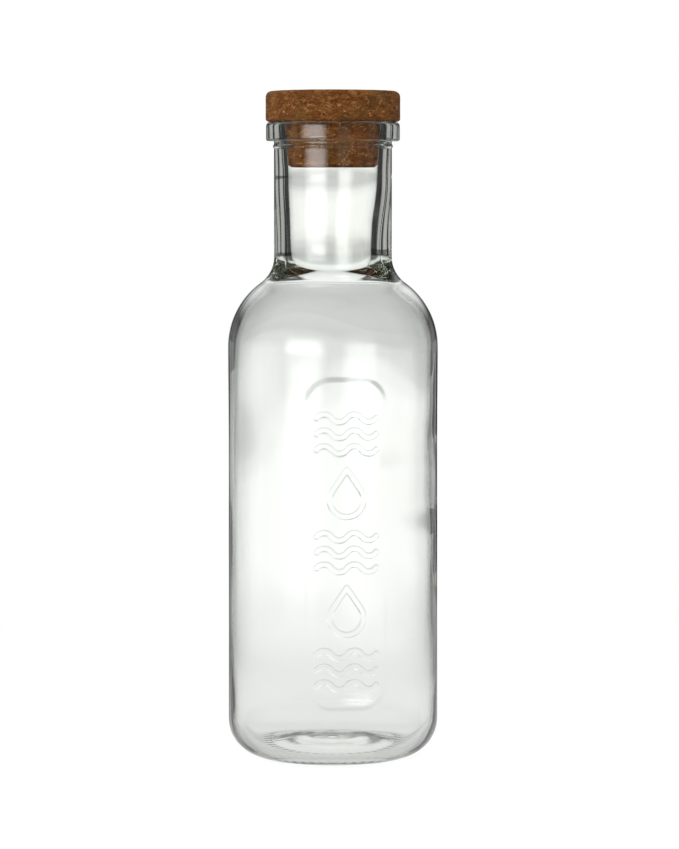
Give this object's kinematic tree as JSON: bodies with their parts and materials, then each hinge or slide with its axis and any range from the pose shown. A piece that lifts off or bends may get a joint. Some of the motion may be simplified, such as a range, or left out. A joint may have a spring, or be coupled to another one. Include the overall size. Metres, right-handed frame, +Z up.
{
  "type": "glass water bottle",
  "caption": "Round clear glass water bottle with a straight wide neck, a sunk front panel of raised ripples and drops, and a flat-headed cork stopper.",
  "frame": {"origin": "middle of the base ring, on the surface that the bottle stands on", "axes": "+Z up the bottle's axis towards the stopper, -Y out of the front panel, +X to the viewer's right"},
  "size_m": [0.0886, 0.0889, 0.28],
  "materials": {
    "clear_glass": "polished",
    "cork": "matte"
  },
  "bodies": {
    "bottle": {"glass_bottle": "clear_glass"},
    "stopper": {"stopper_head": "cork", "stopper_plug": "cork"}
  },
  "joints": [
    {"name": "stopper_lift", "type": "slide", "parent": "bottle", "child": "stopper", "axis": [0, 0, 1], "range_m": [0, 0.06]}
  ]
}
